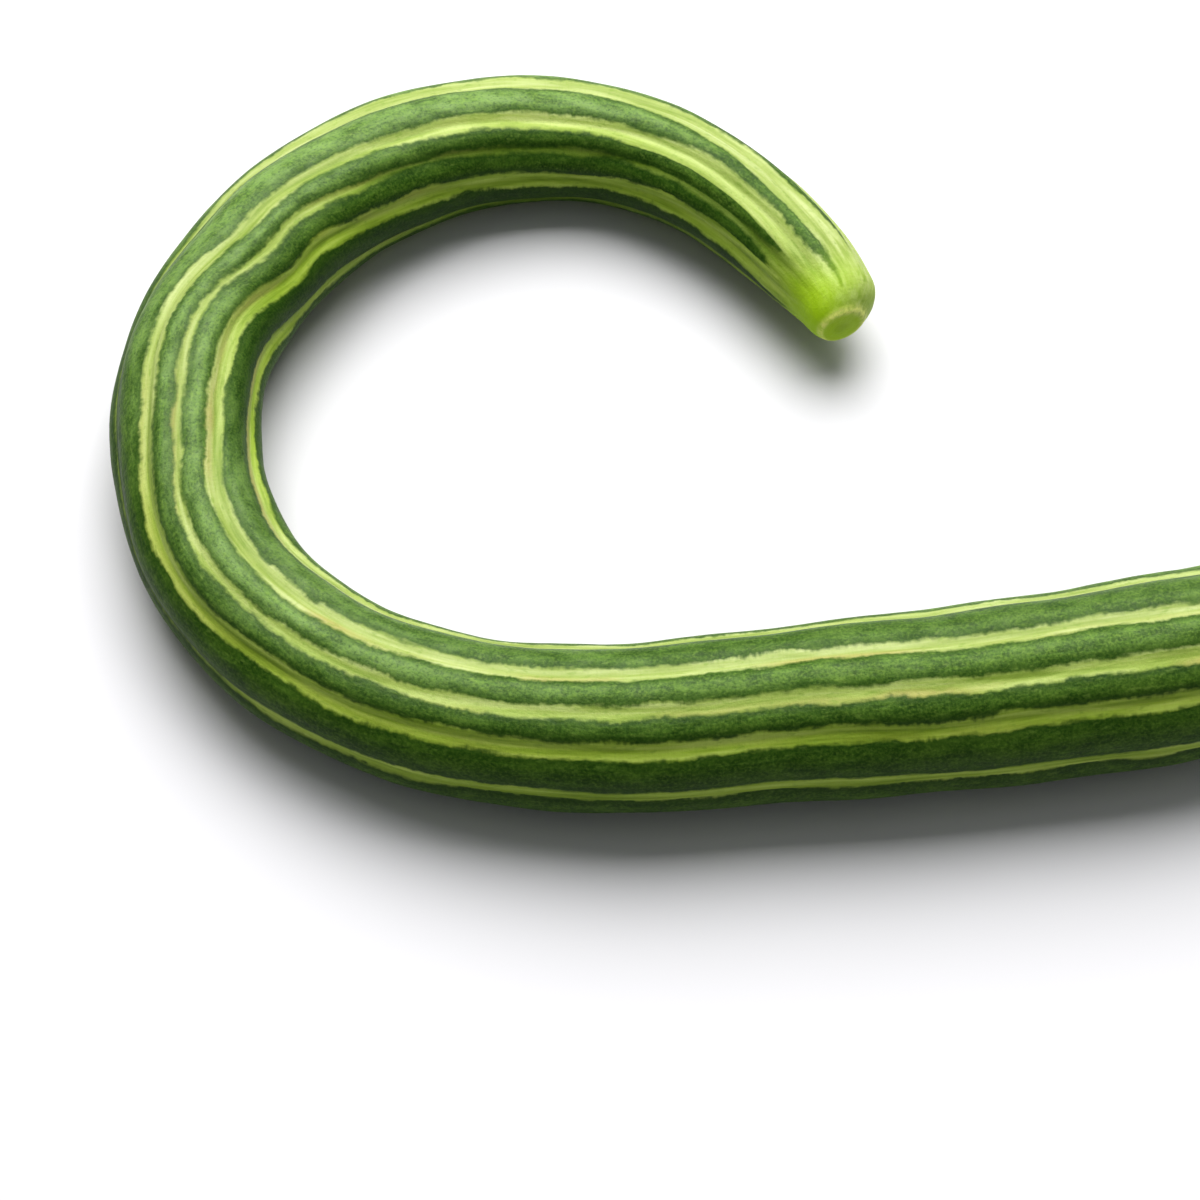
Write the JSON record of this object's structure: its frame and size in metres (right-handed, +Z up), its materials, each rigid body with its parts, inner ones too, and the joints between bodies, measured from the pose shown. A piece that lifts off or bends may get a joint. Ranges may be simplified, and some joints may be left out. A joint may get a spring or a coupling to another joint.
{
  "type": "armenian cucumber",
  "caption": "Long armenian cucumber lying on its side and curled into a hook, with shallow furrows, rounded striped ribs, a blunt blossom end and a short stub of stalk.",
  "frame": {"origin": "on the surface that the fruit lies on, under the middle of its outline seen from above", "axes": "+X along the straight stretch towards the stalk, +Y towards the outer side of the curl, +Z up"},
  "size_m": [0.3782, 0.2226, 0.0467],
  "materials": {
    "skin": "satin"
  },
  "bodies": {
    "root": {"fruit": "skin"}
  },
  "joints": []
}
